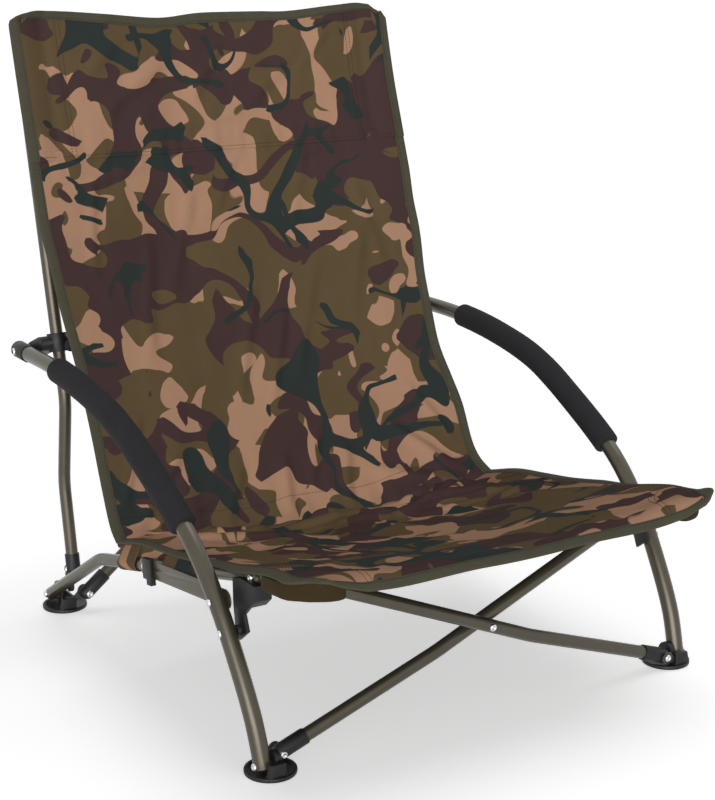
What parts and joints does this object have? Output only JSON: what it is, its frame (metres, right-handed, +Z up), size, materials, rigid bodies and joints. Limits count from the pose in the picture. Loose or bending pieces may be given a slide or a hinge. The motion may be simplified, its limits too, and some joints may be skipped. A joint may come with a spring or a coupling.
{
  "type": "folding fishing chair",
  "caption": "Low folding chair with a sling seat, a reclined sling back, curved tube arms with foam grips, crossed tubes front and rear, and round pad feet.",
  "frame": {"origin": "on the ground, below the middle of the chair's outer size, 16 mm behind the middle of its four feet", "axes": "+Z up, -Y towards the front of the seat, where the sitter faces, +X towards the sitter's left"},
  "size_m": [0.6456, 0.7642, 0.7669],
  "materials": {
    "frame_paint": "satin metallic olive-brown lacquer on round steel tube",
    "dark_paint": "satin dark olive-brown lacquer on steel",
    "moulded_plastic": "black moulded nylon, lightly textured",
    "grip_foam": "charcoal closed-cell foam sleeve, matt",
    "zinc_rivet": "bright zinc-plated rivet",
    "camouflage_cloth": null,
    "plain_cloth": "plain brown-olive woven polyester"
  },
  "bodies": {
    "front_left_foot": {"foot_front_left": "moulded_plastic", "leg_pin_left": "zinc_rivet", "front_foot_tab_left": "frame_paint", "front_cross_foot_pin_left": "zinc_rivet"},
    "cross_a": {"front_cross_a": "frame_paint", "front_cross_a_fitting": "moulded_plastic", "front_cross_pin": "zinc_rivet"},
    "cross_b": {"front_cross_b": "frame_paint", "front_cross_b_fitting": "moulded_plastic"},
    "front_right_foot": {"foot_front_right": "moulded_plastic", "leg_pin_right": "zinc_rivet", "front_foot_tab_right": "frame_paint", "front_cross_foot_pin_right": "zinc_rivet"},
    "leg_left": {"leg_arm_left": "frame_paint", "arm_foam_left": "grip_foam", "arm_end_cap_left": "moulded_plastic", "rail_bracket_left": "moulded_plastic", "bracket_pin_left": "zinc_rivet"},
    "leg_right": {"leg_arm_right": "frame_paint", "arm_foam_right": "grip_foam", "arm_end_cap_right": "moulded_plastic", "rail_bracket_right": "moulded_plastic", "bracket_pin_right": "zinc_rivet"},
    "hub_right": {"corner_hub_right": "moulded_plastic", "hub_pin_right": "zinc_rivet", "corner_pocket_right": "plain_cloth"},
    "hub_left": {"corner_hub_left": "moulded_plastic", "hub_pin_left": "zinc_rivet", "corner_pocket_left": "plain_cloth"},
    "rail_right": {"seat_rail_right": "frame_paint", "seat_cloth": "camouflage_cloth"},
    "back_sling": {"back_cloth": "camouflage_cloth"},
    "rail_left": {"seat_rail_left": "frame_paint"},
    "rear_right_foot": {"foot_rear_right": "moulded_plastic", "rail_pin_right": "zinc_rivet", "rear_foot_tab_right": "frame_paint", "rear_cross_foot_pin_right": "zinc_rivet"},
    "rear_left_foot": {"foot_rear_left": "moulded_plastic", "rail_pin_left": "zinc_rivet", "rear_foot_tab_left": "frame_paint", "rear_cross_foot_pin_left": "zinc_rivet"},
    "post_right": {"back_post_right": "frame_paint", "post_foot_fitting_right": "moulded_plastic", "post_pin_right": "zinc_rivet"},
    "post_left": {"back_post_left": "frame_paint", "post_foot_fitting_left": "moulded_plastic", "post_pin_left": "zinc_rivet"},
    "collar_right": {"post_collar_right": "moulded_plastic"},
    "collar_left": {"post_collar_left": "moulded_plastic"},
    "brace_right": {"brace_bar_right": "dark_paint", "brace_pin_right": "zinc_rivet", "brace_stop_right": "moulded_plastic"},
    "brace_left": {"brace_bar_left": "dark_paint", "brace_pin_left": "zinc_rivet", "brace_stop_left": "moulded_plastic"},
    "cross_c": {"rear_cross_c": "dark_paint", "rear_cross_c_fitting": "moulded_plastic", "rear_cross_pin": "zinc_rivet"},
    "cross_d": {"rear_cross_d": "dark_paint", "rear_cross_d_fitting": "moulded_plastic"}
  },
  "joints": [
    {"name": "fold", "type": "hinge", "parent": "front_left_foot", "child": "cross_a", "pos_m": [0.264, -0.30607, 0.015], "axis": [0, 1, 0], "range_deg": [0, 54], "deforming": ["seat_cloth", "back_cloth", "corner_pocket_right", "corner_pocket_left"]},
    {"name": "cross_scissor", "type": "hinge", "parent": "cross_a", "child": "cross_b", "pos_m": [0, -0.29587, 0.11135], "axis": [0, 1, 0], "range_deg": [-108.5, 0]},
    {"name": "right_foot_pivot", "type": "hinge", "parent": "cross_b", "child": "front_right_foot", "pos_m": [-0.264, -0.28727, 0.015], "axis": [0, 1, 0], "range_deg": [0, 54.5]},
    {"name": "leg_left_pivot", "type": "hinge", "parent": "front_left_foot", "child": "leg_left", "pos_m": [0.292, -0.29987, 0.012], "axis": [1, 0, 0], "range_deg": [0, 29.5]},
    {"name": "leg_right_pivot", "type": "hinge", "parent": "front_right_foot", "child": "leg_right", "pos_m": [-0.292, -0.29987, 0.012], "axis": [1, 0, 0], "range_deg": [0, 29.5]},
    {"name": "hub_right_pivot", "type": "hinge", "parent": "cross_a", "child": "hub_right", "pos_m": [-0.25, -0.30607, 0.217], "axis": [0, 1, 0], "range_deg": [-54.5, 0]},
    {"name": "hub_left_pivot", "type": "hinge", "parent": "cross_b", "child": "hub_left", "pos_m": [0.25, -0.28727, 0.217], "axis": [0, 1, 0], "range_deg": [0, 54.5]},
    {"name": "rail_right_pivot", "type": "hinge", "parent": "hub_right", "child": "rail_right", "pos_m": [-0.2667, -0.29287, 0.217], "axis": [1, 0, 0], "range_deg": [-42, 0]},
    {"name": "rail_left_pivot", "type": "hinge", "parent": "hub_left", "child": "rail_left", "pos_m": [0.2667, -0.29287, 0.217], "axis": [1, 0, 0], "range_deg": [-42, 0]},
    {"name": "rear_right_foot_pivot", "type": "hinge", "parent": "rail_right", "child": "rear_right_foot", "pos_m": [-0.2897, 0.28613, 0.013], "axis": [1, 0, 0], "range_deg": [0, 42]},
    {"name": "rear_left_foot_pivot", "type": "hinge", "parent": "rail_left", "child": "rear_left_foot", "pos_m": [0.2897, 0.28613, 0.013], "axis": [1, 0, 0], "range_deg": [0, 42]},
    {"name": "post_right_pivot", "type": "hinge", "parent": "rail_right", "child": "post_right", "pos_m": [-0.2775, 0.25013, 0.033], "axis": [1, 0, 0], "range_deg": [0, 45.6]},
    {"name": "post_left_pivot", "type": "hinge", "parent": "rail_left", "child": "post_left", "pos_m": [0.2775, 0.25013, 0.033], "axis": [1, 0, 0], "range_deg": [0, 45.6]},
    {"name": "sling_crease", "type": "hinge", "parent": "rail_right", "child": "back_sling", "pos_m": [-0.28, 0.07713, 0.147], "axis": [1, 0, 0], "range_deg": [0, 56.5]},
    {"name": "collar_right_slide", "type": "slide", "parent": "post_right", "child": "collar_right", "axis": [0, 0.2283, 0.9736], "range_m": [0, 0.238]},
    {"name": "collar_left_slide", "type": "slide", "parent": "post_left", "child": "collar_left", "axis": [0, 0.2283, 0.9736], "range_m": [0, 0.238]},
    {"name": "brace_right_pivot", "type": "hinge", "parent": "rail_right", "child": "brace_right", "pos_m": [-0.2874, -0.00687, 0.14415], "axis": [1, 0, 0], "range_deg": [0, 82]},
    {"name": "brace_left_pivot", "type": "hinge", "parent": "rail_left", "child": "brace_left", "pos_m": [0.2874, -0.00687, 0.14415], "axis": [1, 0, 0], "range_deg": [0, 82]},
    {"name": "cross_c_pivot", "type": "hinge", "parent": "rear_right_foot", "child": "cross_c", "pos_m": [-0.2585, 0.23963, 0.023], "axis": [0, 0.9876, -0.157], "range_deg": [-45, 0]},
    {"name": "cross_d_pivot", "type": "hinge", "parent": "rear_left_foot", "child": "cross_d", "pos_m": [0.2585, 0.26163, 0.023], "axis": [0, 0.9876, -0.157], "range_deg": [0, 45]}
  ],
  "couplings": [
    {"joint": "cross_scissor", "follows": "fold", "ratio": -2},
    {"joint": "right_foot_pivot", "follows": "fold", "ratio": 1},
    {"joint": "leg_left_pivot", "follows": "fold", "ratio": 0.54158},
    {"joint": "leg_right_pivot", "follows": "fold", "ratio": 0.54158},
    {"joint": "hub_right_pivot", "follows": "fold", "ratio": -1},
    {"joint": "hub_left_pivot", "follows": "fold", "ratio": 1},
    {"joint": "rail_right_pivot", "follows": "fold", "ratio": -0.76896},
    {"joint": "rail_left_pivot", "follows": "fold", "ratio": -0.76896},
    {"joint": "rear_right_foot_pivot", "follows": "fold", "ratio": 0.76896},
    {"joint": "rear_left_foot_pivot", "follows": "fold", "ratio": 0.76896},
    {"joint": "post_right_pivot", "follows": "fold", "ratio": 0.83751},
    {"joint": "post_left_pivot", "follows": "fold", "ratio": 0.83751},
    {"joint": "sling_crease", "follows": "fold", "ratio": 1.0328},
    {"joint": "collar_right_slide", "follows": "fold", "m_per_rad": 0.24938},
    {"joint": "collar_left_slide", "follows": "fold", "m_per_rad": 0.24938},
    {"joint": "brace_right_pivot", "follows": "fold", "ratio": 1.5092},
    {"joint": "brace_left_pivot", "follows": "fold", "ratio": 1.5092},
    {"joint": "cross_c_pivot", "follows": "fold", "ratio": -0.82437},
    {"joint": "cross_d_pivot", "follows": "fold", "ratio": 0.82437}
  ]
}
